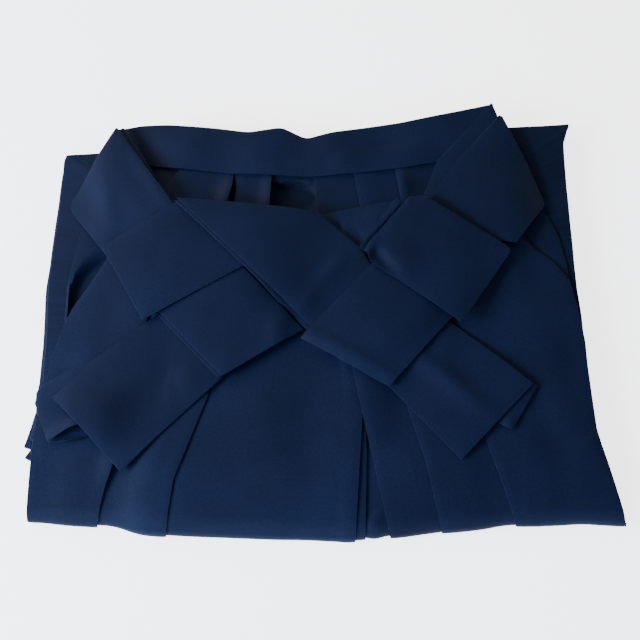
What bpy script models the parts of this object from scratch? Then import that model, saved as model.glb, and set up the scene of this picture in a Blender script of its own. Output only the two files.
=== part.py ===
"""Hakama trousers folded in three and laid flat, with the four ties crossed on top.

Every piece of cloth is a wall laid on the pile below it. The pile's height is kept on a square grid:
a new piece rests on a smooth surface just above that height, and then raises it.
The table is z = 0, x runs to the right and y runs from the lower fold to the waist of the back.
"""

from collections import namedtuple

import bpy
import numpy as np

MM = 0.001

# Cloth
SEAM_GAP = 0.3 * MM
PANEL_WALL = 1.5 * MM
TIE_WALL = 1.6 * MM
ROUND_EDGE = 0.35

# Folded bundle
STACK_HEIGHT = 18.0 * MM
STACK_RADIUS = STACK_HEIGHT / 2
TABLE_CLEARANCE = 0.4 * MM
ROLL_STEPS = 7

# Grid that holds the height of the pile
CELL = 1.0 * MM
GRID_X = (-275 * MM, 275 * MM)
GRID_Y = (-235 * MM, 245 * MM)
DRAPE_REACH = 5
LIFT_REACH = 9
LIFT_ROUNDS = 6
LEAST_LIFT = SEAM_GAP / 20
EDGE_SHARE = 1e-6
LEAST_AREA = 1e-12

NAVY = (0.0102, 0.0212, 0.0561, 1.0)
ROUGHNESS = 0.62

# The lower fold's outer line in plan, from left to right
FOLD_LINE_X = np.array([-245, -180, -123, -60, 0, 45, 100, 160, 210, 250]) * MM
FOLD_LINE_Y = np.array([-184.5, -186, -192.5, -195.5, -198.5, -199.5, -194.5, -188.5, -186, -186]) * MM
FOLD_BLEND = 30 * MM
FOLD_SAMPLES = 13
FIRST_ROLL = STACK_RADIUS + SEAM_GAP + PANEL_WALL
ROLL_SLACK = 0.25 * MM

# Left and right sides of the hidden layers: the hem's two layers lie lowest and reach out furthest
Side = namedtuple("Side", "y hem fold")
LEFT_SIDE = [
    Side(-160, -235, -234),
    Side(-134, -235, -234),
    Side(-132, -245, -234),
    Side(-129.5, -249, -234),
    Side(-122, -244, -234.5),
    Side(-120.4, -250.5, -234.5),
    Side(-103, -246, -235),
    Side(-88, -243, -236),
    Side(-72, -245, -237),
    Side(-66, -243.2, -237),
    Side(-29, -242.7, -238),
    Side(30, -245.3, -240.5),
    Side(83, -243, -238.5),
    Side(137, -240.8, -237),
    Side(154, -239.5, -237.3),
    Side(160.5, -238, -235.5),
]
RIGHT_SIDE = [
    Side(195.5, 231, 233.5),
    Side(183, 229, 230.5),
    Side(173.7, 228, 227.5),
    Side(130, 228, 226.5),
    Side(82, 228.5, 227),
    Side(20, 228.5, 227),
    Side(-6, 230.5, 229),
    Side(-33, 231, 229.5),
    Side(-62, 230.5, 229),
    Side(-99, 229, 227.5),
    Side(-125, 228, 227),
    Side(-160, 235, 234),
]
BACK_EDGE_POINTS = 14
FRONT_EDGE_POINTS = 30
FRONT_CORNER_REACH = 5
SHARP_ANGLE = np.radians(50)

# Rings of the hidden layers, from the table up: each fold of cloth bulges and the next starts in a groove
Ring = namedtuple("Ring", "z layer inset")
RINGS = [
    Ring(0.0, 0.0, 1.4),
    Ring(1.0, 0.0, 0.3),
    Ring(2.4, 0.0, 0.0),
    Ring(3.6, 0.0, 0.4),
    Ring(4.3, 0.1, 1.6),
    Ring(5.0, 0.3, 0.4),
    Ring(6.6, 0.35, 0.0),
    Ring(8.0, 0.4, 0.4),
    Ring(8.7, 0.7, 1.8),
    Ring(9.4, 0.8, 0.4),
    Ring(11.0, 0.85, 0.0),
    Ring(12.6, 0.9, 0.4),
    Ring(13.3, 1.0, 1.8),
    Ring(14.0, 1.0, 0.4),
    Ring(15.6, 1.0, 0.0),
    Ring(17.2, 1.0, 0.5),
    Ring(18.0, 1.0, 1.8),
]

# Walls laid flat. near and far are plan points along the two long edges, from the waist or the upper end on.
Sheet = namedtuple("Sheet", "name near far rows columns wall least rolled")


def flat(name, near, far, rows=9, columns=7, wall=TIE_WALL, least=0.0):
    return Sheet(name, near, far, rows, columns, wall, least * MM, False)


def rolled(name, near, far, rows=14, columns=6, wall=PANEL_WALL):
    return Sheet(name, near, far, rows, columns, wall, STACK_HEIGHT, True)


PIECES = [
    flat(
        "back_panel",
        near=[(-196, 150), (-206, 115), (-214, 81), (-219, 50), (-223, 22), (-222, -16)],
        far=[(178, 165), (186, 125), (203, 100), (214, 74), (219, 45), (221, 8)],
        rows=12,
        columns=16,
        wall=PANEL_WALL,
    ),
    flat("back_pleat_left_inner", [(-76, 146), (-84, 62)], [(-45, 146), (-50, 62)], 6, 4, PANEL_WALL),
    flat("back_pleat_left_outer", [(-132, 150), (-150, 62)], [(-79, 146), (-90, 62)], 6, 6, PANEL_WALL),
    flat("back_pleat_right_inner", [(-6, 144), (1, 62)], [(33, 146), (42, 62)], 6, 4, PANEL_WALL),
    flat("back_pleat_right_middle", [(30, 147), (43, 62)], [(72, 150), (82, 62)], 6, 4, PANEL_WALL),
    flat("back_pleat_right_outer", [(68, 150), (80, 62)], [(128, 158), (140, 62)], 6, 6, PANEL_WALL),
    flat(
        "back_waist_band",
        near=[(-178, 148), (-148, 145), (-128, 143), (-80, 137), (-45, 136), (-7, 134), (31, 137), (73, 142),
              (108, 149), (140, 160)],
        far=[(-180, 186), (-168, 190), (-142, 189.5), (-93, 185), (-66, 181), (-36, 187), (-13, 174),
             (11, 181), (75, 192), (163, 213)],
        rows=24,
        columns=5,
        least=19.0,
    ),
    rolled("slit_fold_left", [(18, 0), (28, -90)], [(34, 0), (43, -90)], columns=3),
    rolled("slit_fold_right", [(38, 0), (46, -90)], [(62, 0), (72, -90)], columns=3),
    rolled(
        "front_centre_panel",
        near=[(-140, 86), (-128, 20), (-118, -80), (-132, -155)],
        far=[(32, 86), (34, -20), (35.6, -98), (31, -165)],
        rows=16,
        columns=13,
    ),
    rolled(
        "front_first_pleat_right",
        near=[(20, 86), (24, -20), (28, -57), (36, -98), (44.6, -139), (52, -174)],
        far=[(100, 86), (96, 0), (97, -92), (110, -150)],
        columns=7,
    ),
    rolled(
        "front_second_pleat_left",
        near=[(-188, 84), (-192, 0), (-190, -100), (-194, -150)],
        far=[(-70, 86), (-82, -20), (-94, -80), (-102, -103), (-112.7, -134), (-120, -153.5), (-123.2, -176)],
        columns=9,
    ),
    rolled(
        "front_second_pleat_right",
        near=[(60, 86), (64, 0), (74, -92), (87.6, -139), (93, -165)],
        far=[(162, 80), (158, 0), (156, -90), (168, -150)],
        columns=8,
    ),
    rolled(
        "front_side_panel_left",
        near=[(-176, 62), (-189, 47.5), (-204, 20), (-215, 3), (-222, -16), (-230, -44), (-233, -67),
              (-237.7, -99), (-239.3, -123), (-239.6, -154)],
        far=[(-140, 70), (-146, 20), (-156, -60), (-166, -120), (-171.6, -145), (-177, -162), (-179.4, -174)],
        rows=15,
        columns=7,
    ),
    rolled(
        "front_third_pleat_right",
        near=[(112, 84), (116, 0), (124, -70), (139, -122), (150, -156), (155, -172)],
        far=[(170, 82), (180, 74), (189, 61.6), (207, 47.5), (220, 28), (223, 11), (229, -28), (229, -52),
             (231, -99), (231.5, -112), (237.4, -138), (241, -163)],
        rows=16,
        columns=8,
    ),
    flat(
        "front_waist_band",
        near=[(-131, 103), (-88, 99), (-50, 94.5), (-2, 92), (36, 100), (64, 106), (89, 108.5)],
        far=[(-125, 38), (84, 30)],
        rows=15,
        columns=7,
    ),
    flat("front_tie_right_end_under", [(-162, -26), (-190, -48), (-217, -60), (-238.5, -74), (-240, -88)],
         [(-140, -84), (-208, -108.5), (-225.4, -121.8)], 8, 6, least=19.8),
    flat("front_tie_right_lower", [(-112, 18), (-143, -9.8), (-190, -48.5), (-224, -85)],
         [(-56, -38), (-83, -66), (-136.7, -120), (-163.5, -148.5)], 12, 8),
    flat("front_tie_left_end_under", [(146, -45), (184, -72)], [(112, -82), (160, -112)], 6, 6),
    flat("front_tie_left_lower", [(70, 26), (114, -15.5), (155.4, -49), (180, -71)],
         [(10, -30), (59, -74.3), (88, -106), (116.6, -138)], 12, 8),
    flat("back_tie_left_upper",
         [(-188.5, 181), (-203, 153), (-217, 123), (-226, 106), (-224, 97), (-193, 56), (-168, 24)],
         [(-185.5, 181.5), (-130.4, 100.6), (-104, 66)], 14, 7, least=20.0),
    flat("back_tie_left_lower_under", [(-162, 20), (-143.5, -4.5), (-86, -67)],
         [(-110, 60), (-74, 35), (-20, -24)], 9, 7),
    flat("back_tie_left_lower", [(-158, 20), (-139.5, -5.5), (-82.5, -66)],
         [(-98, 66), (-69.6, 38.4), (-14.6, -21.6)], 9, 7),
    flat("back_tie_left_wrap", [(-192, 55.8), (-152.3, -14.9)], [(-124, 103), (-62, 40)], 9, 9, least=26.0),
    flat("back_tie_right_upper_under", [(108, 150), (100, 128), (88, 98)],
         [(161, 213), (176, 168), (158, 70)], 9, 6, least=20.0),
    flat("back_tie_right_upper", [(167, 198), (124, 146), (101.5, 109), (90, 70)],
         [(170, 197), (190, 147), (204, 105), (174, 62)], 10, 7, least=20.0),
    flat("front_tie_left_upper_under", [(-130.5, 100), (-11.5, -24)], [(-40, 88), (50, 0)], 10, 7),
    flat("front_tie_left_upper", [(-127, 101), (-58, 30), (-7.5, -21), (16, -44)],
         [(-1.8, 91.5), (35.4, 55.2), (43.9, 38.8), (84, 2)], 11, 8),
    flat("back_tie_right_lower", [(48, 41), (-16.3, -32.2)], [(121, -2), (58.2, -75.5)], 9, 8),
    flat("back_tie_right_wrap_under", [(68, 104.5), (35, 54)], [(110, 80), (80, 26)], 7, 5),
    flat("back_tie_right_wrap", [(80, 104), (39.5, 52), (43.8, 39)],
         [(93, 105.5), (169.4, 54.2), (121.2, -17.8)], 11, 9),
]


class Pile:
    """The height of what already lies on the table, on a square grid."""

    def __init__(self):
        self.x = np.arange(GRID_X[0], GRID_X[1], CELL)
        self.y = np.arange(GRID_Y[0], GRID_Y[1], CELL)
        self.top = np.zeros((len(self.y), len(self.x)))

    def inside(self, outline):
        """The grid's cells inside a closed plan outline, by counting crossings to the right."""
        x, y = np.meshgrid(self.x, self.y)
        inside = np.zeros(x.shape, bool)
        for start, end in zip(outline, np.roll(outline, -1, axis=0)):
            crosses = (start[1] > y) != (end[1] > y)
            if not crosses.any():
                continue
            at = start[0] + (y - start[1]) / (end[1] - start[1]) * (end[0] - start[0])
            inside ^= crosses & (x < at)
        return inside

    def covered(self, triangle):
        """The grid's cells under one triangle, and the triangle's height over each."""
        low = np.ceil((triangle[:, :2].min(axis=0) - (self.x[0], self.y[0])) / CELL).astype(int)
        high = np.floor((triangle[:, :2].max(axis=0) - (self.x[0], self.y[0])) / CELL).astype(int)
        columns, rows = np.meshgrid(np.arange(low[0], high[0] + 1), np.arange(low[1], high[1] + 1))
        first, second = triangle[1] - triangle[0], triangle[2] - triangle[0]
        area = first[0] * second[1] - first[1] * second[0]
        if columns.size == 0 or abs(area) < LEAST_AREA:
            return np.zeros(0, int), np.zeros(0, int), np.zeros(0)
        dx = self.x[0] + columns * CELL - triangle[0, 0]
        dy = self.y[0] + rows * CELL - triangle[0, 1]
        along = (dx * second[1] - dy * second[0]) / area
        across = (dy * first[0] - dx * first[1]) / area
        inside = (along >= -EDGE_SHARE) & (across >= -EDGE_SHARE) & (along + across <= 1 + EDGE_SHARE)
        height = triangle[0, 2] + along * first[2] + across * second[2]
        return columns[inside], rows[inside], height[inside]

    def raise_to(self, points, triangles):
        for triangle in points[triangles]:
            columns, rows, height = self.covered(triangle)
            self.top[rows, columns] = np.maximum(self.top[rows, columns], height)

    def shortfall(self, points, triangles):
        """How far each cell of a wall's underside lies too low to clear the pile."""
        missing = np.zeros_like(self.top)
        for triangle in points[triangles]:
            columns, rows, height = self.covered(triangle)
            short = self.top[rows, columns] + SEAM_GAP - height
            missing[rows, columns] = np.maximum(missing[rows, columns], short)
        return missing

    def sample(self, field, plan):
        """A field's value at plan points, blended between the four nearest cells."""
        column = (plan[..., 0] - self.x[0]) / CELL
        row = (plan[..., 1] - self.y[0]) / CELL
        column0 = np.clip(column.astype(int), 0, len(self.x) - 2)
        row0 = np.clip(row.astype(int), 0, len(self.y) - 2)
        u, v = column - column0, row - row0
        lower = field[row0, column0] * (1 - u) + field[row0, column0 + 1] * u
        upper = field[row0 + 1, column0] * (1 - u) + field[row0 + 1, column0 + 1] * u
        return lower * (1 - v) + upper * v


def widened(field, reach):
    """The highest value within reach cells along x and y."""
    for axis in (0, 1):
        padded = np.pad(field, [(reach, reach) if axis == k else (0, 0) for k in (0, 1)], mode="edge")
        windows = np.lib.stride_tricks.sliding_window_view(padded, 2 * reach + 1, axis=axis)
        field = windows.max(axis=-1)
    return field


def smoothed(field, reach):
    """The mean within reach cells along x and y."""
    for axis in (0, 1):
        padded = np.pad(field, [(reach, reach) if axis == k else (0, 0) for k in (0, 1)], mode="edge")
        windows = np.lib.stride_tricks.sliding_window_view(padded, 2 * reach + 1, axis=axis)
        field = windows.mean(axis=-1)
    return field


def along(points, count):
    """count points spread evenly by length along a chain of plan points in millimetres."""
    points = np.array(points, float) * MM
    length = np.concatenate([[0.0], np.cumsum(np.hypot(*np.diff(points, axis=0).T))])
    at = np.linspace(0.0, length[-1], count)
    return np.stack([np.interp(at, length, points[:, k]) for k in (0, 1)], axis=-1)


def roll_centre(x):
    """The y of the lower fold's axis, which bows towards the middle: the table's mean over a short span."""
    shifts = np.linspace(-FOLD_BLEND, FOLD_BLEND, FOLD_SAMPLES)
    line = [np.interp(x + shift, FOLD_LINE_X, FOLD_LINE_Y) for shift in shifts]
    return np.mean(line, axis=0) + FIRST_ROLL


def plan_grid(sheet):
    """Plan points of a wall: rows run from the upper end, columns from the near edge to the far one."""
    near = along(sheet.near, sheet.rows)
    far = along(sheet.far, sheet.rows)
    if sheet.rolled:
        near = to_fold(sheet.near, sheet.rows)
        far = to_fold(sheet.far, sheet.rows)
    share = np.linspace(0.0, 1.0, sheet.columns)[None, :, None]
    grid = near[:, None] * (1 - share) + far[:, None] * share
    if sheet.rolled:
        grid[-1, :, 1] = roll_centre(grid[-1, :, 0])
    across = grid[0, -1] - grid[0, 0]
    down = grid[-1, 0] - grid[0, 0]
    faces_down = down[0] * across[1] - down[1] * across[0] < 0
    return grid[:, ::-1] if faces_down else grid


def to_fold(points, count):
    """An edge carried on in its last direction to the axis of the lower fold."""
    last = np.array(points[-1], float)
    before = np.array(points[-2], float)
    step = (last - before) / (last[1] - before[1])
    end_y = roll_centre(last[0] * MM) / MM
    end = last + step * (end_y - last[1])
    return along(list(points) + [tuple(end)], count)


def rolled_rows(low, wall):
    """Inner and outer points round the lower fold, from the last flat row down to the table."""
    start = low[-1]
    inner = start[:, 2] - STACK_RADIUS
    outer = inner + wall
    last = np.arccos(-(STACK_RADIUS - TABLE_CLEARANCE) / outer)
    turn = np.linspace(0.0, 1.0, ROLL_STEPS + 1)[1:, None] * last[None, :]
    drift = (start[:, 0] - low[-2, :, 0]) / (low[-2, :, 1] - start[:, 1])
    x = start[None, :, 0] + drift * STACK_RADIUS * turn
    rows = []
    for radius in (inner, outer):
        y = start[None, :, 1] - radius * np.sin(turn)
        z = STACK_RADIUS + radius * np.cos(turn)
        rows.append(np.stack([x, y, z], axis=-1))
    return rows


def unit(vectors):
    return vectors / np.linalg.norm(vectors, axis=-1, keepdims=True)


def wall_mesh(low, high, wall):
    """Points, upper triangles and lower triangles of a wall with a rounded rim all round."""
    rows, columns = low.shape[:2]
    ids = np.arange(rows * columns).reshape(rows, columns)
    count = rows * columns
    middle = (low + high) / 2
    out = np.zeros_like(middle)
    out[0] += unit(middle[0] - middle[1])
    out[-1] += unit(middle[-1] - middle[-2])
    out[:, 0] += unit(middle[:, 0] - middle[:, 1])
    out[:, -1] += unit(middle[:, -1] - middle[:, -2])
    edge = np.concatenate([ids[0, :-1], ids[:-1, -1], ids[-1, :0:-1], ids[:0:-1, 0]])
    rim = middle.reshape(-1, 3)[edge] + ROUND_EDGE * wall * unit(out.reshape(-1, 3)[edge])
    points = np.concatenate([low.reshape(-1, 3), high.reshape(-1, 3), rim])
    a, b, c, d = ids[:-1, :-1].ravel(), ids[:-1, 1:].ravel(), ids[1:, 1:].ravel(), ids[1:, :-1].ravel()
    face = np.concatenate([np.stack([a, c, b], 1), np.stack([a, d, c], 1)])
    ring = 2 * count + np.arange(len(edge))
    after, edge_after = np.roll(ring, -1), np.roll(edge, -1)
    top, top_after = edge + count, edge_after + count
    upper_rim = [np.stack([top, after, ring], 1), np.stack([top, top_after, after], 1)]
    lower_rim = [np.stack([ring, after, edge], 1), np.stack([after, edge_after, edge], 1)]
    upper = np.concatenate([face + count] + upper_rim)
    lower = np.concatenate([face[:, ::-1]] + lower_rim)
    return points, upper, lower


def laid_wall(pile, sheet):
    """A wall resting on the pile. It bridges hollows narrower than its reach and clears every cell."""
    plan = plan_grid(sheet)
    rest = smoothed(widened(pile.top, DRAPE_REACH), DRAPE_REACH)
    rest = np.maximum(rest, sheet.least)
    for _ in range(LIFT_ROUNDS):
        low = np.dstack([plan, pile.sample(rest, plan) + SEAM_GAP])
        high = low + (0.0, 0.0, sheet.wall)
        points, upper, lower = wall_mesh(low, high, sheet.wall)
        missing = pile.shortfall(points, lower)
        if missing.max() < LEAST_LIFT:
            break
        rest = rest + smoothed(widened(missing, LIFT_REACH), DRAPE_REACH)
    if sheet.rolled:
        low[-1, :, 2] += ROLL_SLACK
        high[-1, :, 2] += ROLL_SLACK
        inner, outer = rolled_rows(low, sheet.wall)
        low = np.concatenate([low, inner])
        high = np.concatenate([high, outer])
        points, upper, lower = wall_mesh(low, high, sheet.wall)
    pile.raise_to(points, upper)
    return points, np.concatenate([upper, lower])


def stack_ring(ring):
    """One ring of the hidden layers, clockwise from the front left corner seen from above."""
    z = ring.z * MM
    inset = ring.inset
    front_bulge = np.sqrt(max(STACK_RADIUS**2 - (z - STACK_RADIUS) ** 2, 0.0))
    left = [(row.hem + (row.fold - row.hem) * ring.layer + inset, row.y) for row in LEFT_SIDE]
    right = [(row.hem + (row.fold - row.hem) * ring.layer - inset, row.y) for row in RIGHT_SIDE]
    left[-1] = (left[-1][0], left[-1][1] - inset)
    right[0] = (right[0][0], right[0][1] - inset)
    back = np.linspace(left[-1], right[0], BACK_EDGE_POINTS)[1:-1]
    front_x = np.linspace(right[-1][0] + FRONT_CORNER_REACH, left[0][0], FRONT_EDGE_POINTS) * MM
    front = np.stack([front_x, roll_centre(front_x) - front_bulge], axis=-1)
    sides = np.concatenate([left, back, right]) * MM
    plan = np.concatenate([sides, front])
    return np.column_stack([plan, np.full(len(plan), z)])


def hidden_layers():
    """The second and third thirds of the legs, closed by a flat face below and above."""
    rings = np.array([stack_ring(ring) for ring in RINGS])
    levels, count = rings.shape[:2]
    ids = np.arange(levels * count).reshape(levels, count)
    following = np.roll(ids, -1, axis=1)
    quads = np.stack([ids[:-1], ids[1:], following[1:], following[:-1]], axis=-1).reshape(-1, 4)
    faces = quads.tolist() + [ids[0].tolist(), ids[-1, ::-1].tolist()]
    return rings.reshape(-1, 3), faces


def navy_cloth(name):
    material = bpy.data.materials.new(name)
    material.use_nodes = True
    shader = material.node_tree.nodes["Principled BSDF"]
    shader.inputs["Base Color"].default_value = NAVY
    shader.inputs["Roughness"].default_value = ROUGHNESS
    shader.inputs["Metallic"].default_value = 0.0
    return material


def add_piece(name, points, faces, parent, centre):
    mesh = bpy.data.meshes.new(name)
    mesh.from_pydata((points - centre).tolist(), [], [list(map(int, face)) for face in faces])
    mesh.validate()
    mesh.shade_smooth()
    mesh.set_sharp_from_angle(angle=SHARP_ANGLE)
    mesh.materials.append(navy_cloth(name + "_cloth"))
    piece = bpy.data.objects.new(name, mesh)
    bpy.context.scene.collection.objects.link(piece)
    piece.parent = parent
    return piece


def build():
    for old in list(bpy.data.objects):
        bpy.data.objects.remove(old, do_unlink=True)
    bundle = bpy.data.objects.new("folded_hakama", None)
    bpy.context.scene.collection.objects.link(bundle)
    pile = Pile()
    points, faces = hidden_layers()
    made = [("hidden_layers", points, faces)]
    top_ring = points[-(len(points) // len(RINGS)):]
    pile.top[pile.inside(top_ring)] = STACK_HEIGHT
    for sheet in PIECES:
        made.append((sheet.name, *laid_wall(pile, sheet)))
    every = np.concatenate([points for _, points, _ in made])
    centre = (every.min(axis=0) + every.max(axis=0)) / 2
    centre[2] = 0.0
    for name, points, faces in made:
        add_piece(name, points, faces, bundle, centre)


build()
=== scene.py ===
"""Folded hakama trousers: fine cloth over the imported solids, with a floor, lights and a camera.

Every piece of cloth is a surface over two parameters, across and along the piece. Its height comes from
the pile below it, which is kept as a square grid of heights. Tables give plan points in millimetres,
with x to the right and y from the lower fold to the waist of the back.
"""

from collections import namedtuple

import bpy
import numpy as np
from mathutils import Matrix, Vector


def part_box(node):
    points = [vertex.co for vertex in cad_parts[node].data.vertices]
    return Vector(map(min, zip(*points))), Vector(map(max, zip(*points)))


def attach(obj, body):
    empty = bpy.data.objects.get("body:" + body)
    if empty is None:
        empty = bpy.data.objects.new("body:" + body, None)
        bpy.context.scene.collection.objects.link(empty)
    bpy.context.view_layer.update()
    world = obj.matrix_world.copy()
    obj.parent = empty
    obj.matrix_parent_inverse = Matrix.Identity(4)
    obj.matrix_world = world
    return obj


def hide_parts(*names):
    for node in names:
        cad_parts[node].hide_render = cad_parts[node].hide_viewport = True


bl_info = {
    "name": "Folded hakama trousers",
    "version": (1, 0, 0),
    "blender": (4, 5, 0),
    "location": "View3D > Sidebar > Hakama",
    "description": "Lays fine navy cloth on the solids of folded hakama trousers",
    "category": "Object",
}

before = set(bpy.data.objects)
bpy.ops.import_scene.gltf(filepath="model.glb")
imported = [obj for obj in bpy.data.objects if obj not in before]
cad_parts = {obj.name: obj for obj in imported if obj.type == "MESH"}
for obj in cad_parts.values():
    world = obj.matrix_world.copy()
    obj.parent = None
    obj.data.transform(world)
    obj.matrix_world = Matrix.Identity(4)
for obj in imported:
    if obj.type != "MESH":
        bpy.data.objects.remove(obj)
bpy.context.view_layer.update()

MM = 0.001
TAU = 2 * np.pi

# Cloth, in millimetres. A wall holds one ply of cloth, and the rest of it is the air under that ply
SEAM_GAP = 0.3
PANEL_WALL = 1.5
TIE_WALL = 1.6
PLY = 0.8
# Sag of a sheet's edges, and how much higher a tie's middle stands than its edges
DROOP = 0.30
DROOP_WIDTH = 3.0
PUFF = 0.5
PUFF_WIDTH = 14.0
# The folded stack, and the shallow hollow in its top
STACK_HEIGHT = 18.0
STACK_RADIUS = STACK_HEIGHT / 2
HOLLOW_DEPTH = 7.0
HOLLOW_MIDDLE = (-22.0, 10.0)
HOLLOW_REACH = (198.0, 120.0)
# Where the cloth rolls round the lower fold: its end's height above the table, and its slack before it
TABLE_CLEARANCE = 0.4
ROLL_SLACK = 0.25
SLACK_WIDTH = 20.0

# Slow unevenness: how many waves, and their shortest and longest length
RIPPLE_WAVES = 6
RIPPLE_LENGTHS = (50, 140)

# Grid of heights. A sheet bridges hollows up to its reach in cells
CELL = 0.8
GRID_X = (-275, 275)
GRID_Y = (-235, 245)
TIE_REACH = 22
WRAP_REACH = 34
PANEL_REACH = 24
EDGE_BLEND = 5.0
EDGE_SAMPLES = 9
FINE_STEPS = 4
LEAST_ROWS = 6
LEAST_COLUMNS = 5
ROLL_ROWS = 26

# The lower fold's outer line in plan
FOLD_LINE_X = (-245, -180, -123, -60, 0, 45, 100, 160, 210, 250)
FOLD_LINE_Y = (-185.5, -187.5, -193.5, -196, -198, -199.5, -191, -187.5, -187, -190)
FOLD_BLEND = 30
FOLD_SAMPLES = 13
FIRST_ROLL = STACK_RADIUS + SEAM_GAP + PANEL_WALL

# The bundle thins towards the lower fold, over this width and by this share of its height
TAPER_WIDTH = 62.0
TAPER_SHARE = 0.36
TAPER_POWER = 2.2

# Left and right sides of the hidden layers
Side = namedtuple("Side", "y hem fold")
LEFT_SIDE = [
    Side(-160, -235, -234),
    Side(-134, -235, -234),
    Side(-132, -245, -234),
    Side(-129.5, -249, -234),
    Side(-122, -244, -234.5),
    Side(-120.4, -250.5, -234.5),
    Side(-103, -246, -235),
    Side(-88, -243, -236),
    Side(-72, -245, -237),
    Side(-66, -243.2, -237),
    Side(-29, -242.7, -238),
    Side(30, -245.3, -240.5),
    Side(83, -243, -238.5),
    Side(137, -240.8, -237),
    Side(154, -239.5, -237.3),
    Side(160.5, -238, -235.5),
]
RIGHT_SIDE = [
    Side(195.5, 231, 233.5),
    Side(183, 229, 230.5),
    Side(173.7, 228, 227.5),
    Side(130, 228, 226.5),
    Side(82, 228.5, 227),
    Side(20, 228.5, 227),
    Side(-6, 230.5, 229),
    Side(-33, 231, 229.5),
    Side(-62, 230.5, 229),
    Side(-99, 229, 227.5),
    Side(-125, 228, 227),
    Side(-160, 235, 234),
]

# The row frame's origin in plan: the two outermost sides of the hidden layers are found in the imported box
STACK_LOW, STACK_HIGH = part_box("hidden_layers")
CENTRE = np.array([
    min(row.hem for row in LEFT_SIDE) - STACK_LOW.x / MM,
    max(row.y for row in RIGHT_SIDE) - STACK_HIGH.y / MM,
    0.0,
])

# A piece of cloth: near and far are its two long edges, from the waist or the upper end on, and least is
# the lowest height of its underside. A name that ends in _ply is a second ply under the sheet of that name
Sheet = namedtuple("Sheet", "name near far wall least rolled reach")


def flat(name, near, far, wall=TIE_WALL, least=0.0, reach=TIE_REACH):
    return Sheet(name, near, far, wall, least, False, reach)


def rolled(name, near, far, least=STACK_HEIGHT):
    return Sheet(name, near, far, PANEL_WALL, least, True, PANEL_REACH)


BACK_PANEL = [
    flat(
        "back_panel",
        near=[(-196, 150), (-206, 115), (-214, 81), (-219, 50), (-223, 22), (-222, -16)],
        far=[(178, 165), (186, 125), (203, 100), (214, 74), (219, 45), (221, 8)],
        wall=PANEL_WALL,
        least=STACK_HEIGHT,
    ),
]
BACK_PLEATS = [
    flat("back_pleat_left_inner", [(-79, 146), (-76, 123), (-84, 62)], [(-44, 146), (-46, 98), (-50, 62)],
         PANEL_WALL),
    flat("back_pleat_left_outer", [(-123, 150), (-142, 123), (-156, 62)], [(-79, 146), (-80, 126), (-94, 62)],
         PANEL_WALL),
    flat("back_pleat_right_inner", [(-6, 144), (1, 62)], [(33, 146), (42, 62)], PANEL_WALL),
    flat("back_pleat_right_middle", [(30, 147), (43, 62)], [(72, 150), (82, 62)], PANEL_WALL),
    flat("back_pleat_right_outer", [(68, 150), (80, 62)], [(128, 158), (140, 62)], PANEL_WALL),
]
BACK_WAIST_BAND = [
    flat(
        "back_waist_band",
        near=[(-186, 148), (-148, 145), (-128, 143), (-80, 137), (-45, 136), (-7, 134), (31, 137), (73, 142),
              (108, 149), (140, 160)],
        far=[(-187, 181), (-179, 186), (-168, 189), (-142, 189.5), (-93, 185), (-66, 181), (-36, 187),
             (-13, 174), (11, 181), (75, 192), (163, 213)],
        least=22.0,
    ),
]
FRONT_PANELS = [
    rolled("slit_fold_right", [(28, 0), (28, -90)], [(62, 0), (72, -90)]),
    rolled("slit_fold_left", [(24, 0), (24, -90)], [(37, 0), (38.6, -127), (37.4, -176)]),
    rolled(
        "front_centre_panel",
        near=[(-140, 86), (-128, 20), (-118, -80), (-132, -155)],
        far=[(32, 86), (34, -20), (35.6, -98), (31, -165)],
        least=21.6,
    ),
    rolled(
        "front_first_pleat_right",
        near=[(20, 86), (24, -20), (28, -57), (36, -98), (44.6, -139), (52, -174)],
        far=[(100, 86), (96, 0), (97, -92), (110, -150)],
    ),
    rolled(
        "front_second_pleat_left",
        near=[(-188, 84), (-192, 0), (-190, -100), (-194, -150)],
        far=[(-70, 86), (-82, -20), (-94, -80), (-102, -103), (-112.7, -134), (-120, -153.5), (-123.2, -176)],
    ),
    rolled(
        "front_second_pleat_right",
        near=[(60, 86), (64, 0), (74, -92), (87.6, -139), (93, -165)],
        far=[(162, 80), (158, 0), (156, -90), (168, -150)],
    ),
    rolled(
        "front_side_panel_left",
        near=[(-176, 62), (-189, 47.5), (-204, 20), (-215, 3), (-222, -16), (-230, -44), (-233, -67),
              (-237.7, -99), (-239.3, -123), (-239.6, -154)],
        far=[(-140, 70), (-146, 20), (-156, -60), (-166, -120), (-171.6, -145), (-177, -162), (-179.4, -174)],
    ),
    rolled(
        "front_third_pleat_right",
        near=[(112, 84), (116, 0), (124, -70), (139, -122), (150, -156), (155, -172)],
        far=[(170, 82), (180, 74), (189, 61.6), (207, 47.5), (220, 28), (223, 11), (229, -28), (229, -52),
             (231, -99), (231.5, -112), (238, -138), (244.5, -165)],
    ),
]
FRONT_WAIST_BAND = [
    flat(
        "front_waist_band",
        near=[(-131, 103), (-88, 99), (-50, 94.5), (-2, 92), (36, 100), (64, 106), (89, 108.5)],
        far=[(-125, 38), (84, 30)],
    ),
]
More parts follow.
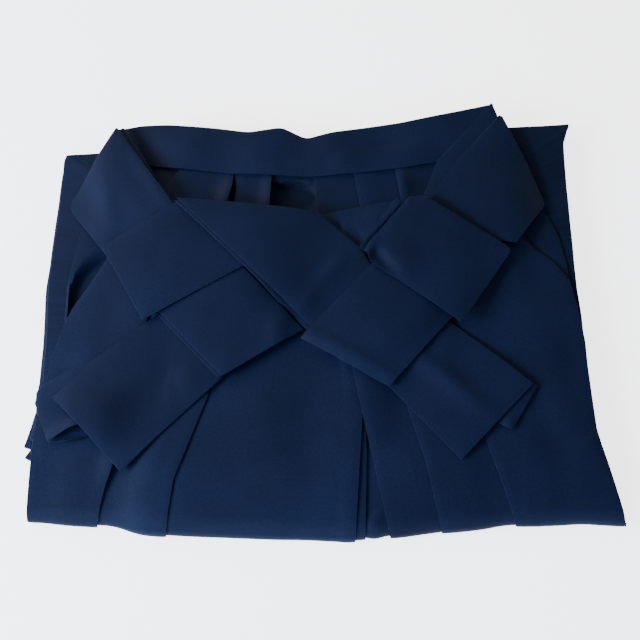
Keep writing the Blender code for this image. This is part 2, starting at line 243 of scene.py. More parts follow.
FRONT_TIES_LOWER = [
    flat("front_tie_right_end_under_ply", [(-170, -60), (-205, -90), (-231, -104)],
         [(-160, -101), (-198.2, -119.5), (-213.3, -123), (-226.2, -121.8)], PLY, least=19.8),
    flat("front_tie_right_end_under", [(-162, -26), (-190, -48), (-217, -60), (-238.5, -74), (-240, -88)],
         [(-140, -86), (-208, -112), (-225.4, -122.4)], least=19.8),
    flat("front_tie_right_lower", [(-112, 18), (-143, -9.8), (-190, -48.5), (-224, -85)],
         [(-56, -38), (-83, -66), (-136.7, -120), (-163.5, -148.5)]),
    flat("front_tie_left_end_under", [(146, -45), (184, -72)], [(112, -82), (160, -112)]),
    flat("front_tie_left_lower", [(70, 26), (114, -15.5), (155.4, -49), (180, -71)],
         [(10, -30), (59, -74.3), (88, -106), (116.6, -138)]),
]
BACK_TIE_LEFT = [
    flat("back_tie_left_upper_ply", [(-190, 178), (-180, 156), (-152, 112)],
         [(-182, 182.5), (-165.5, 157), (-155.2, 140), (-129, 99)], PLY, least=20.0),
    flat("back_tie_left_upper",
         [(-188.5, 181), (-203, 153), (-217, 123), (-226, 106), (-224, 97), (-193, 56), (-168, 24)],
         [(-185.5, 179), (-158, 137), (-131, 98), (-104, 64)], least=20.0, reach=WRAP_REACH),
    flat("back_tie_left_lower_under", [(-162, 20), (-143.5, -4.5), (-86, -67)],
         [(-110, 60), (-74, 35), (-20, -24)]),
    flat("back_tie_left_lower", [(-158, 20), (-139.5, -5.5), (-82.5, -66)],
         [(-98, 66), (-69.6, 38.4), (-14.6, -21.6)]),
    flat("back_tie_left_wrap", [(-192, 55.8), (-152.3, -14.9)], [(-124, 103), (-62, 40)],
         least=26.0, reach=WRAP_REACH),
]
BACK_TIE_RIGHT_UPPER = [
    flat("back_tie_right_upper_under", [(108, 150), (100, 128), (88, 98)],
         [(161, 213), (176, 168), (158, 70)], least=21.0, reach=WRAP_REACH),
    flat("back_tie_right_upper", [(167, 198), (124, 146), (101.5, 109), (90, 70)],
         [(170, 197), (190, 147), (204, 105), (174, 62)], least=22.6, reach=WRAP_REACH),
]
FRONT_TIE_LEFT_UPPER = [
    flat("front_tie_left_upper_under", [(-130, 100), (-9.8, -22.8)], [(-40, 88), (50, 0)],
         reach=WRAP_REACH),
    flat("front_tie_left_upper", [(-127, 101), (-58, 30), (-7.5, -21), (16, -44)],
         [(-1.8, 91.5), (35.4, 55.2), (43.9, 38.8), (84, 2)], reach=WRAP_REACH),
]
BACK_TIE_RIGHT_OVER = [
    flat("back_tie_right_lower", [(48, 41), (-16.3, -32.2)], [(121, -2), (58.2, -75.5)]),
    flat("back_tie_right_wrap_under", [(68, 104.5), (35, 54)], [(110, 80), (80, 26)]),
    flat("back_tie_right_wrap", [(80, 104), (39.5, 52), (43.8, 39)],
         [(93, 105.5), (169.4, 54.2), (121.2, -17.8)], reach=WRAP_REACH),
]

# Soft ridges and troughs of each sheet: middle, direction from +x in degrees, half length, half width and
# height, which is negative in a trough
Crease = namedtuple("Crease", "x y turn long wide high")
CREASES = {
    "back_panel": [
        Crease(-199, 35, 50, 22, 9, -16.0),
        Crease(-210, 14, 70, 24, 7, -8.0),
        Crease(-81, 112, 86, 18, 6, -6.0),
        Crease(-43, 115, 86, 16, 6, -6.0),
        Crease(-18, 104, 176, 20, 15, -6.0),
        Crease(-24, 119, -2, 20, 9, -16.0),
    ],
    "back_pleat_left_outer": [
        Crease(-84, 108, 76, 24, 9, 4.5),
        Crease(-138.5, 137, 51, 11, 3, 2.0),
    ],
    "back_pleat_left_inner": [Crease(-45, 112, 88, 20, 8, 4.0)],
    "back_pleat_right_outer": [Crease(75, 125, 95, 15, 8, 3.0)],
    "back_waist_band": [
        Crease(-118, 163, 87, 26, 24, 2.0),
        Crease(-58, 160, 86, 26, 22, 2.0),
        Crease(13, 160, 86, 26, 20, 1.8),
        Crease(97, 175, 59, 34, 20, 0.8),
        Crease(-173, 160, 122, 34, 8, 5.5),
        Crease(-160, 164, 122, 34, 14, -2.2),
    ],
    "front_side_panel_left": [
        Crease(-170, -140, 82, 24, 10, 3.0),
    ],
    "front_centre_panel": [
        Crease(-10, -140, 89, 60, 16, -0.7),
        Crease(-52, -90, 118, 60, 26, 0.8),
    ],
    "front_third_pleat_right": [
        Crease(192, -30, 108, 45, 16, 1.4),
        Crease(208, -100, 118, 45, 16, 1.4),
        Crease(228, -118, 25, 12, 5, 1.0),
    ],
    "front_waist_band": [Crease(25, 71, 140, 16, 7, -2.0)],
    "back_tie_left_upper_ply": [Crease(-142, 115, 123, 34, 11, 4.5)],
    "back_tie_left_upper": [
        Crease(-150, 125, 123, 44, 9, 1.8),
        Crease(-193, 104, 105, 26, 10, 1.8),
    ],
    "back_tie_left_lower": [Crease(-35, -22, 80, 20, 10, 1.6)],
    "front_tie_right_lower": [
        Crease(-134, -72, 70, 26, 15, -1.2),
        Crease(-112, -66, 110, 16, 14, 1.2),
    ],
    "front_tie_left_lower": [
        Crease(108, -66, 137, 42, 10, 2.8),
        Crease(94, -46, 125, 14, 9, -1.2),
    ],
    "back_tie_right_upper": [Crease(202, 128, 112, 60, 22, -2.4)],
    "front_tie_left_upper": [
        Crease(10, 31, 49, 19, 9, 1.9),
        Crease(-10, 4, 49, 14, 7, 1.0),
    ],
    "front_tie_left_upper_under": [Crease(-68, 38, 134, 90, 6, 1.8)],
    "back_tie_right_lower": [
        Crease(44, -18, 149, 60, 26, 1.6),
        Crease(26, -47, 150, 60, 7, 1.4),
    ],
    "back_tie_right_wrap": [
        Crease(80, 44, 148, 80, 60, 2.2),
        Crease(42.5, 47, 70, 13, 4.5, 2.6),
        Crease(55, 39, 130, 17, 6, -2.6),
        Crease(72, 42, 126, 28, 15, 1.0),
    ],
    "back_tie_right_wrap_under": [
        Crease(60, 80, 54, 60, 30, 3.2),
        Crease(59, 78.7, 52, 40, 1.5, -2.6),
    ],
    "front_tie_right_end_under_ply": [Crease(-206, -122, 8, 20, 2.2, 3.0)],
    "front_tie_right_end_under": [Crease(-204, -111, 30, 22, 9, 6.5)],
    "front_tie_left_end_under": [Crease(158, -108, 40, 8, 5, 2.0)],
    "slit_fold_right": [Crease(44, -188, 40, 12, 4, 1.6)],
}


def linear(hex_colour):
    """The linear colour of an sRGB hex value: each channel goes through the sRGB curve."""
    channels = [int(hex_colour[k:k + 2], 16) / 255 for k in (1, 3, 5)]
    return tuple(c / 12.92 if c <= 0.04045 else ((c + 0.055) / 1.055) ** 2.4 for c in channels)


class HakamaCloth(bpy.types.PropertyGroup):
    """Sizes and colours of the cloth."""

    colour: bpy.props.FloatVectorProperty(
        name="Cloth colour",
        description="Colour of the dyed cloth",
        subtype="COLOR",
        size=3,
        min=0.0,
        max=1.0,
        default=(0.0044, 0.0092, 0.0275),
    )
    thread: bpy.props.FloatProperty(
        name="Thread spacing",
        description="Distance between the drawn threads of the weave",
        unit="LENGTH",
        default=1.1 * MM,
        min=0.2 * MM,
    )
    spacing: bpy.props.FloatProperty(
        name="Mesh spacing",
        description="Distance between the points of a piece of cloth",
        unit="LENGTH",
        default=2.0 * MM,
        min=0.5 * MM,
    )
    ripple: bpy.props.FloatProperty(
        name="Ripple",
        description="Height of the cloth's slow unevenness",
        unit="LENGTH",
        default=0.16 * MM,
    )


class HakamaStage(bpy.types.PropertyGroup):
    """Floor, lights and camera."""

    floor_colour: bpy.props.FloatVectorProperty(
        name="Floor colour",
        description="Colour of the plain floor",
        subtype="COLOR",
        size=3,
        min=0.0,
        max=1.0,
        default=linear("#F2F2F0"),
    )
    elevation: bpy.props.FloatProperty(
        name="Camera elevation",
        description="Angle of the camera above the table",
        subtype="ANGLE",
        default=np.radians(65),
    )
    window: bpy.props.FloatProperty(
        name="Window light",
        description="Power of the large light at the left",
        default=80.0,
        min=0.0,
    )
    back: bpy.props.FloatProperty(
        name="Back light",
        description="Power of the warm light behind, which makes the sheen of the upper cloth",
        default=20.0,
        min=0.0,
    )
    front: bpy.props.FloatProperty(
        name="Front light",
        description="Power of the low cool light in front",
        default=18.0,
        min=0.0,
    )
    sky: bpy.props.FloatProperty(
        name="Room light",
        description="Strength of the even light of the room",
        default=0.34,
        min=0.0,
    )


class Pile:
    """The height of what already lies on the table, in millimetres on a square grid."""

    def __init__(self):
        self.x = np.arange(GRID_X[0], GRID_X[1], CELL)
        self.y = np.arange(GRID_Y[0], GRID_Y[1], CELL)
        self.top = np.zeros((len(self.y), len(self.x)))

    def inside(self, outline):
        """The cells inside a closed outline: those with an odd count of edges to their right."""
        x, y = np.meshgrid(self.x, self.y)
        inside = np.zeros(x.shape, bool)
        for start, end in zip(outline, np.roll(outline, -1, axis=0)):
            rows = np.flatnonzero((start[1] > self.y) != (end[1] > self.y))
            if len(rows):
                at = start[0] + (self.y[rows] - start[1]) / (end[1] - start[1]) * (end[0] - start[0])
                inside[rows] ^= x[rows] < at[:, None]
        return inside

    def sample(self, field, plan):
        """A field's value at plan points, blended between the four nearest cells."""
        column = (plan[..., 0] - self.x[0]) / CELL
        row = (plan[..., 1] - self.y[0]) / CELL
        column0 = np.clip(column.astype(int), 0, len(self.x) - 2)
        row0 = np.clip(row.astype(int), 0, len(self.y) - 2)
        u, v = column - column0, row - row0
        lower = field[row0, column0] * (1 - u) + field[row0, column0 + 1] * u
        upper = field[row0 + 1, column0] * (1 - u) + field[row0 + 1, column0 + 1] * u
        return lower * (1 - v) + upper * v


PILE = Pile()


def filtered(field, reach, pick):
    """A field after a square filter of that reach in cells, along x and then along y."""
    for axis in (0, 1):
        margin = [(reach, reach) if axis == k else (0, 0) for k in (0, 1)]
        padded = np.pad(field, margin, mode="edge")
        windows = np.lib.stride_tricks.sliding_window_view(padded, 2 * reach + 1, axis=axis)
        field = pick(windows, axis=-1)
    return field


def chain(points, count):
    """count points spread evenly by length along a chain of plan points."""
    points = np.array(points, float)
    length = np.concatenate([[0.0], np.cumsum(np.hypot(*np.diff(points, axis=0).T))])
    at = np.linspace(0.0, length[-1], count)
    return np.stack([np.interp(at, length, points[:, k]) for k in (0, 1)], axis=-1)


def chain_length(points):
    return np.hypot(*np.diff(np.array(points, float), axis=0).T).sum()


def soft_chain(points, count):
    """A chain with its corners eased: each point is the mean of the chain over a span that shrinks to
    nothing at both ends."""
    fine = chain(points, count * FINE_STEPS)
    length = chain_length(points)
    at = np.linspace(0.0, length, len(fine))
    to = np.linspace(0.0, length, count)
    span = np.minimum(EDGE_BLEND, np.minimum(to, length - to))
    shifts = np.linspace(-1.0, 1.0, EDGE_SAMPLES)[:, None] * span
    return np.stack([np.interp(to + shifts, at, fine[:, k]).mean(axis=0) for k in (0, 1)], axis=-1)


def roll_centre(x):
    """The y of the lower fold's axis: the mean of the fold line over a short span."""
    shifts = np.linspace(-FOLD_BLEND, FOLD_BLEND, FOLD_SAMPLES)
    line = [np.interp(x + shift, FOLD_LINE_X, FOLD_LINE_Y) for shift in shifts]
    return np.mean(line, axis=0) + FIRST_ROLL


def tapered(points):
    """Points with their height scaled down near the lower fold, by a share that grows as a power of the
    nearness to the fold line."""
    near = 1.0 - (points[..., 1] - roll_centre(points[..., 0]) + FIRST_ROLL) / TAPER_WIDTH
    scale = 1.0 - TAPER_SHARE * np.clip(near, 0.0, 1.0) ** TAPER_POWER
    return points * np.stack([np.ones_like(scale), np.ones_like(scale), scale], axis=-1)


def to_fold(points):
    """An edge carried on in its last direction to the axis of the lower fold."""
    last, before = np.array(points[-1], float), np.array(points[-2], float)
    step = (last - before) / (last[1] - before[1])
    return list(points) + [tuple(last + step * (roll_centre(last[0]) - last[1]))]


def plan_grid(sheet, spacing):
    """Plan points of a sheet: rows run from the upper end, columns from the near edge to the far one, or
    the other way round where the faces would look down."""
    near, far = (to_fold(edge) if sheet.rolled else edge for edge in (sheet.near, sheet.far))
    rows = max(LEAST_ROWS, round(max(chain_length(near), chain_length(far)) / spacing))
    near, far = soft_chain(near, rows), soft_chain(far, rows)
    columns = max(LEAST_COLUMNS, round(np.hypot(*(far - near).T).max() / spacing))
    share = np.linspace(0.0, 1.0, columns)[None, :, None]
    grid = near[:, None] * (1 - share) + far[:, None] * share
    if sheet.rolled:
        grid[-1, :, 1] = roll_centre(grid[-1, :, 0])
    across, down = grid[0, -1] - grid[0, 0], grid[-1, 0] - grid[0, 0]
    faces_down = down[0] * across[1] - down[1] * across[0] < 0
    return grid[:, ::-1] if faces_down else grid


def ripples(x, y, seed, height):
    """Slow unevenness: a sum of waves in seeded directions."""
    draw = np.random.default_rng(seed)
    total = np.zeros_like(x)
    for _ in range(RIPPLE_WAVES):
        turn, phase = draw.uniform(0, TAU, 2)
        wave = draw.uniform(*RIPPLE_LENGTHS)
        total += np.sin((x * np.cos(turn) + y * np.sin(turn)) * TAU / wave + phase)
    return height * total / np.sqrt(RIPPLE_WAVES)


def creased(name, x, y):
    """The sum of a sheet's creases, each a bell along its direction and a narrower bell across it."""
    total = np.zeros_like(x)
    for crease in CREASES.get(name, ()):
        turn = np.radians(crease.turn)
        dx, dy = x - crease.x, y - crease.y
        along = (dx * np.cos(turn) + dy * np.sin(turn)) / crease.long
        over = (dy * np.cos(turn) - dx * np.sin(turn)) / crease.wide
        total += crease.high * np.exp(-along**2 - over**2)
    return total


def round_fold(low, wall):
    """Points that carry a sheet's last row round the lower fold, on circles about the fold's axis: a grid
    for the inner side and a grid for the outer."""
    start, before = low[-1], low[-2]
    inner = start[:, 2] - STACK_RADIUS
    last = np.arccos(-(STACK_RADIUS - TABLE_CLEARANCE) / (inner + wall))
    turn = np.linspace(0.0, 1.0, ROLL_ROWS + 1)[1:, None] * last[None, :]
    drift = (start[:, 0] - before[:, 0]) / (before[:, 1] - start[:, 1])
    x = start[None, :, 0] + drift * STACK_RADIUS * turn
    sides = []
    for radius in (inner, inner + wall):
        y = start[None, :, 1] - radius * np.sin(turn)
        z = STACK_RADIUS + radius * np.cos(turn)
        sides.append(np.stack([x, y, z], axis=-1))
    return sides


def edge_nearness(grid, rolled_on, width):
    """1 at a sheet's edges, falling as a bell of the distance along the grid. A side that rolls on round
    the lower fold isn't an edge."""
    rows, columns = grid.shape[:2]
    across = np.linalg.norm(np.diff(grid, axis=1), axis=-1).mean() * np.arange(columns)
    along = np.linalg.norm(np.diff(grid, axis=0), axis=-1).mean() * np.arange(rows)
    sides = np.minimum(across, across[::-1])[None, :]
    ends = (along if rolled_on else np.minimum(along, along[::-1]))[:, None]
    return np.exp(-(np.minimum(sides, ends) / width) ** 2)


def unit(vectors):
    return vectors / np.linalg.norm(vectors, axis=-1, keepdims=True)


# Rim of a folded edge: outward reach and height, as shares of the wall. Two plies with a groove between
RIM = ((0.30, 0.10), (0.40, 0.28), (0.15, 0.5), (0.40, 0.72), (0.30, 0.90))
RIM_ANGLE = np.radians(35)


def shell(low, high, wall):
    """Points, quads and flat coordinates of a closed wall: a grid below, a grid above and a rim of rings
    that carries the boundary from one to the other."""
    rows, columns = low.shape[:2]
    count = rows * columns
    ids = np.arange(count).reshape(rows, columns)
    out = np.zeros_like(low)
    out[0] += unit(low[0] - low[1])
    out[-1] += unit(low[-1] - low[-2])
    out[:, 0] += unit(low[:, 0] - low[:, 1])
    out[:, -1] += unit(low[:, -1] - low[:, -2])
    edge = np.concatenate([ids[0, :-1], ids[:-1, -1], ids[-1, :0:-1], ids[:0:-1, 0]])
    push = unit(out.reshape(-1, 3)[edge]) * wall
    low_edge, high_edge = low.reshape(-1, 3)[edge], high.reshape(-1, 3)[edge]
    rings = [low_edge * (1 - up) + high_edge * up + push * reach for reach, up in RIM]
    points = np.concatenate([low.reshape(-1, 3), high.reshape(-1, 3), *rings])
    face = np.stack([ids[:-1, :-1], ids[:-1, 1:], ids[1:, 1:], ids[1:, :-1]], axis=-1).reshape(-1, 4)
    rim = [2 * count + k * len(edge) + np.arange(len(edge)) for k in range(len(RIM))]
    loops = [edge, *rim, edge + count]
    sides = [np.stack([a, np.roll(a, -1), np.roll(b, -1), b], axis=-1)
             for a, b in zip(loops[:-1], loops[1:])]
    faces = np.concatenate([face, face[:, ::-1] + count, *sides])
    across, along = (
        np.insert(np.cumsum(np.linalg.norm(np.diff(low, axis=axis), axis=-1), axis=axis), 0, 0.0, axis=axis)
        for axis in (1, 0)
    )
    cut = np.stack([across, along], axis=-1).reshape(-1, 2)
    rim_cut = np.concatenate([cut[edge] + wall * reach for reach, _ in RIM])
    return points, faces, np.concatenate([cut, cut, rim_cut]), across, along


def mesh_piece(name, points, faces, cut, caps=()):
    """A mesh in the row frame from points and quads in millimetres, with its flat cut as a UV map."""
    mesh = bpy.data.meshes.new(name)
    rows = faces.tolist() + [list(cap) for cap in caps]
    mesh.from_pydata(((tapered(points) - CENTRE) * MM).tolist(), [], rows)
    corner = np.zeros(len(mesh.loops), np.int32)
    mesh.loops.foreach_get("vertex_index", corner)
    layer = mesh.uv_layers.new(name="cut")
    layer.data.foreach_set("uv", (cut[corner] * MM).astype(np.float32).ravel())
    mesh.shade_smooth()
    mesh.set_sharp_from_angle(angle=RIM_ANGLE)
    mesh.materials.append(navy_cloth())
    piece = bpy.data.objects.new(name, mesh)
    bpy.context.scene.collection.objects.link(piece)
    return piece


def node(tree, kind, settings=None, links=None):
    """Adds one shader node with its settings and input values or links."""
    made = tree.nodes.new(kind)
    for key, value in (settings or {}).items():
        setattr(made, key, value)
    for key, value in (links or {}).items():
        if isinstance(value, bpy.types.NodeSocket):
            tree.links.new(value, made.inputs[key])
        else:
            made.inputs[key].default_value = value
    return made


# Bands of a wave texture in one unit of its space, at scale 1
WAVE_BANDS = 3.183


def navy_cloth():
    """Polyester and cotton cloth, plain woven, dyed navy: dull, with a faint cool sheen where it turns
    away and a fine even grain. Real threads lie 0.4 mm apart, too fine to show, so they're drawn coarser."""
    name = "navy_plain_woven_cloth"
    if name in bpy.data.materials:
        return bpy.data.materials[name]
    settings = bpy.context.scene.hakama_cloth
    material = bpy.data.materials.new(name)
    material.use_nodes = True
    tree = material.node_tree
    shader = tree.nodes["Principled BSDF"]
    uv = node(tree, "ShaderNodeUVMap", {"uv_map": "cut"}).outputs["UV"]
    place = node(tree, "ShaderNodeTexCoord").outputs["Object"]
    threads = []
    for direction in ("X", "Y"):
        wave = node(tree, "ShaderNodeTexWave", {"bands_direction": direction}, {
            "Vector": uv, "Scale": 1.0 / settings.thread / WAVE_BANDS, "Distortion": 1.5, "Detail": 1.0,
            "Detail Scale": 1.0})
        threads.append(wave.outputs["Fac"])
    weave = node(tree, "ShaderNodeMath", {"operation": "MULTIPLY"}, {0: threads[0], 1: threads[1]}).outputs[0]
    slub = node(tree, "ShaderNodeTexNoise", None, {"Vector": uv, "Scale": 420.0, "Detail": 3.0}).outputs["Fac"]
    grain = node(tree, "ShaderNodeMath", {"operation": "MULTIPLY_ADD"}, {0: slub, 1: 2.0, 2: weave}).outputs[0]
    bump = node(tree, "ShaderNodeBump", None, {"Height": grain, "Strength": 0.22, "Distance": 0.20 * MM})
    cloud = node(tree, "ShaderNodeTexNoise", None, {"Vector": place, "Scale": 18.0, "Detail": 5.0}).outputs["Fac"]
    shade = node(tree, "ShaderNodeMapRange", None, {
        "Value": cloud, "From Min": 0.3, "From Max": 0.7, "To Min": 0.84, "To Max": 1.16}).outputs[0]
    fleck = node(tree, "ShaderNodeMapRange", None, {
        "Value": grain, "From Min": 0.7, "From Max": 1.9, "To Min": 0.76, "To Max": 1.24}).outputs[0]
    tone = node(tree, "ShaderNodeMath", {"operation": "MULTIPLY"}, {0: shade, 1: fleck}).outputs[0]
    dyed = node(tree, "ShaderNodeVectorMath", {"operation": "SCALE"}, {
        0: tuple(settings.colour), "Scale": tone}).outputs[0]
    tree.links.new(dyed, shader.inputs["Base Color"])
    tree.links.new(bump.outputs["Normal"], shader.inputs["Normal"])
    shader.inputs["Roughness"].default_value = 0.6
    shader.inputs["IOR"].default_value = 1.45
    shader.inputs["Specular IOR Level"].default_value = 0.10
    shader.inputs["Sheen Weight"].default_value = 0.012
    shader.inputs["Sheen Roughness"].default_value = 0.45
    shader.inputs["Sheen Tint"].default_value = (*linear("#8FA9DD"), 1.0)
    return material


def lay(sheet):
    """Lays one sheet on the pile. Its underside is the pile's height, widened and then averaged twice so
    that it bridges narrow hollows, plus its creases and ripples, but never below the pile. A rolled sheet
    goes on round the lower fold."""
    settings = bpy.context.scene.hakama_cloth
    plan = plan_grid(sheet, settings.spacing / MM)
    outline = np.concatenate([plan[0], plan[1:, -1], plan[-1, -2::-1], plan[-2:0:-1, 0]])
    covered = PILE.inside(outline)
    below = np.where(covered, PILE.top, 0.0)
    half = sheet.reach // 2
    rest = filtered(filtered(filtered(below, 2 * half, np.max), half, np.mean), half, np.mean)
    x, y = np.meshgrid(PILE.x, PILE.y)
    seed = sum(map(ord, sheet.name))
    uneven = ripples(x, y, seed, settings.ripple / MM) + creased(sheet.name, x, y)
    rest = np.maximum(np.maximum(rest, sheet.least) + uneven, below)
    over = sheet.wall - PLY
    low = np.dstack([plan, PILE.sample(rest, plan) + SEAM_GAP + over])
    PILE.top[covered] = np.maximum(PILE.top[covered], rest[covered] + SEAM_GAP + sheet.wall)
    low[..., 2] -= min(DROOP, over) * edge_nearness(low, sheet.rolled, DROOP_WIDTH)
    if sheet.wall == TIE_WALL:
        low[..., 2] += PUFF * (1.0 - edge_nearness(low, False, PUFF_WIDTH))
    if sheet.rolled:
        to_roll = np.clip((low[..., 1] - low[-1, :, 1]) / SLACK_WIDTH, 0.0, 1.0)
        low[..., 2] += ROLL_SLACK * (1.0 + np.cos(np.pi * to_roll)) / 2
    high = low + (0.0, 0.0, PLY)
    if sheet.rolled:
        inner, outer = round_fold(low, PLY)
        low, high = np.concatenate([low, inner]), np.concatenate([high, outer])
    points, faces, cut, across, along = shell(low, high, PLY)
    piece = mesh_piece(sheet.name + "_cloth", points, faces, cut)
    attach(piece, "root")
    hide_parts(sheet.name.removesuffix("_ply"))


# Hidden layers: plies between the table and the top, each with its own small reach. A groove's power is
# high where it is narrow
PLIES = 12
PLY_RINGS = 5
PLY_GROOVE = 0.5
PLY_GROOVE_POWER = 4
FOLDS = 4
FOLD_GROOVE = 1.5
FOLD_GROOVE_POWER = 12
BELOW_ONE = 0.999
EDGE_POINTS = 620
EDGE_INSET = 0.5
EDGE_WAVES = (5, 13, 29)
EDGE_WAVE_HEIGHT = 0.16
EDGE_WAVE_SEED = 7
FRONT_POINTS = 30
FRONT_CORNER = 5
FRONT_MARGIN = 2
FRONT_INSET = 0.4
CUT_STRETCH = 3


def stack_outline(layer):
    """The closed plan outline of the hidden layers at a share of the way from the hem to the upper fold."""
    left = [(row.hem + (row.fold - row.hem) * layer, row.y) for row in LEFT_SIDE]
    right = [(row.hem + (row.fold - row.hem) * layer, row.y) for row in RIGHT_SIDE]
    front_x = np.linspace(right[-1][0] + FRONT_CORNER, left[0][0], FRONT_POINTS)
    front = np.stack([front_x, roll_centre(front_x)], axis=-1)
    return np.concatenate([left, right, front])


def hidden_layers():
    """A lofted stack: rings of one outline, drawn in at each groove between plies and deeper between
    folds, with the front bulging as a half circle, and each ply shifted by its own slow wave. Its top has
    a hollow, into which the cloth above can sink. Gives points, faces, flat coordinates, the two caps and
    the last three rings."""
    levels = np.linspace(0.0, 1.0, PLIES * PLY_RINGS + 1)
    z = levels * STACK_HEIGHT
    ply = np.minimum((levels * PLIES).astype(int), PLIES - 1)
    in_ply = levels * PLIES - ply
    in_fold = (levels * FOLDS) % 1.0
    groove = PLY_GROOVE * (2 * np.abs(in_ply - 0.5)) ** PLY_GROOVE_POWER
    groove += FOLD_GROOVE * (2 * np.abs(in_fold - 0.5)) ** FOLD_GROOVE_POWER
    layer = np.floor(levels * FOLDS * BELOW_ONE) / (FOLDS - 1)
    corner, corner_top = (
        chain(np.concatenate([outline, outline[:1]]), EDGE_POINTS + 1)[:-1]
        for outline in (stack_outline(0.0), stack_outline(1.0))
    )
    step = np.roll(corner, -1, axis=0) - np.roll(corner, 1, axis=0)
    outward = np.stack([-step[:, 1], step[:, 0]], axis=-1)
    outward = unit(sum(np.roll(outward, k, axis=0) for k in range(-2, 3)))
    at = np.linspace(0.0, TAU, EDGE_POINTS, endpoint=False)
    draw = np.random.default_rng(EDGE_WAVE_SEED)
    phase = draw.uniform(0, TAU, (PLIES, len(EDGE_WAVES)))
    waves = sum(np.sin(at * k + phase[:, [j]]) for j, k in enumerate(EDGE_WAVES)) * EDGE_WAVE_HEIGHT
    front = corner[:, 1] < roll_centre(corner[:, 0]) + FRONT_MARGIN
    bulge = np.sqrt(np.maximum(STACK_RADIUS**2 - (z - STACK_RADIUS) ** 2, 0.0))
    rings = []
    for k, height in enumerate(z):
        plan = corner * (1 - layer[k]) + corner_top * layer[k]
        move = waves[ply[k]] - groove[k] - EDGE_INSET
        plan = plan + outward * np.where(front, 0.0, move)[:, None]
        plan[front, 1] -= max(bulge[k] - FRONT_INSET, 0.0)
        rings.append(np.column_stack([plan, np.full(len(plan), height)]))
    aim = unit((rings[-1][:, :2] - HOLLOW_MIDDLE) / HOLLOW_REACH)
    hollow = np.column_stack([aim * HOLLOW_REACH + HOLLOW_MIDDLE, rings[-1][:, 2]])
    rings += [hollow, hollow - (0.0, 0.0, HOLLOW_DEPTH)]
    rings = np.array(rings)
    levels_count, count = rings.shape[:2]
    ids = np.arange(levels_count * count).reshape(levels_count, count)
    after = np.roll(ids, -1, axis=1)
    faces = np.stack([ids[:-1], ids[1:], after[1:], after[:-1]], axis=-1).reshape(-1, 4)
    around = np.cumsum(np.hypot(*(np.roll(corner, -1, axis=0) - corner).T))
    cut = np.stack(np.broadcast_arrays(around[None, :], rings[..., 2] * CUT_STRETCH), axis=-1).reshape(-1, 2).copy()
    return rings.reshape(-1, 3), faces, cut, [ids[0].tolist(), ids[-1, ::-1].tolist()], rings[-3:]


class HAKAMA_OT_hidden_layers(bpy.types.Operator):
    """Lay the folded second and third thirds of the legs"""

    bl_idname = "hakama.hidden_layers"
    bl_label = "Hidden layers"

    def execute(self, context):
        points, faces, cut, caps, top = hidden_layers()
        piece = mesh_piece("hidden_layers_cloth", points, faces, cut, caps)
        PILE.top[PILE.inside(top[0, :, :2])] = STACK_HEIGHT
        PILE.top[PILE.inside(top[-1, :, :2])] = STACK_HEIGHT - HOLLOW_DEPTH
        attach(piece, "root")
        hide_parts("hidden_layers")
        return {"FINISHED"}


def lay_all(sheets):
    for sheet in sheets:
        lay(sheet)
    return {"FINISHED"}


class HAKAMA_OT_back_panel(bpy.types.Operator):
    """Lay the back panel, which shows above the front's waist and in the side slits"""

    bl_idname = "hakama.back_panel"
    bl_label = "Back panel"

    def execute(self, context):
        return lay_all(BACK_PANEL)


class HAKAMA_OT_back_pleats(bpy.types.Operator):
    """Lay the pleats on the inside of the back"""

    bl_idname = "hakama.back_pleats"
    bl_label = "Back pleats"

    def execute(self, context):
        return lay_all(BACK_PLEATS)


class HAKAMA_OT_back_waist_band(bpy.types.Operator):
    """Lay the back's waist band"""

    bl_idname = "hakama.back_waist_band"
    bl_label = "Back waist band"

    def execute(self, context):
        return lay_all(BACK_WAIST_BAND)


class HAKAMA_OT_front_panels(bpy.types.Operator):
    """Lay the front's panels and pleats and roll them round the lower fold"""

    bl_idname = "hakama.front_panels"
    bl_label = "Front panels"

    def execute(self, context):
        return lay_all(FRONT_PANELS)


class HAKAMA_OT_front_waist_band(bpy.types.Operator):
    """Lay the front's waist band"""

    bl_idname = "hakama.front_waist_band"
    bl_label = "Front waist band"

    def execute(self, context):
        return lay_all(FRONT_WAIST_BAND)


class HAKAMA_OT_front_ties_lower(bpy.types.Operator):
    """Lay the lower stretches of the two front ties"""

    bl_idname = "hakama.front_ties_lower"
    bl_label = "Front ties, lower"

    def execute(self, context):
        return lay_all(FRONT_TIES_LOWER)


class HAKAMA_OT_back_tie_left(bpy.types.Operator):
    """Lay the left back tie and wrap it round the crossing"""

    bl_idname = "hakama.back_tie_left"
    bl_label = "Back tie, left"

    def execute(self, context):
        return lay_all(BACK_TIE_LEFT)


class HAKAMA_OT_back_tie_right_upper(bpy.types.Operator):
    """Lay the upper stretch of the right back tie"""

    bl_idname = "hakama.back_tie_right_upper"
    bl_label = "Back tie, right, upper"

    def execute(self, context):
        return lay_all(BACK_TIE_RIGHT_UPPER)


class HAKAMA_OT_front_tie_left_upper(bpy.types.Operator):
    """Lay the upper stretch of the front tie that crosses over"""

    bl_idname = "hakama.front_tie_left_upper"
    bl_label = "Front tie, upper"

    def execute(self, context):
        return lay_all(FRONT_TIE_LEFT_UPPER)


class HAKAMA_OT_back_tie_right_over(bpy.types.Operator):
    """Lay the lower stretch and the wrap of the right back tie"""

    bl_idname = "hakama.back_tie_right_over"
    bl_label = "Back tie, right, over"

    def execute(self, context):
        return lay_all(BACK_TIE_RIGHT_OVER)


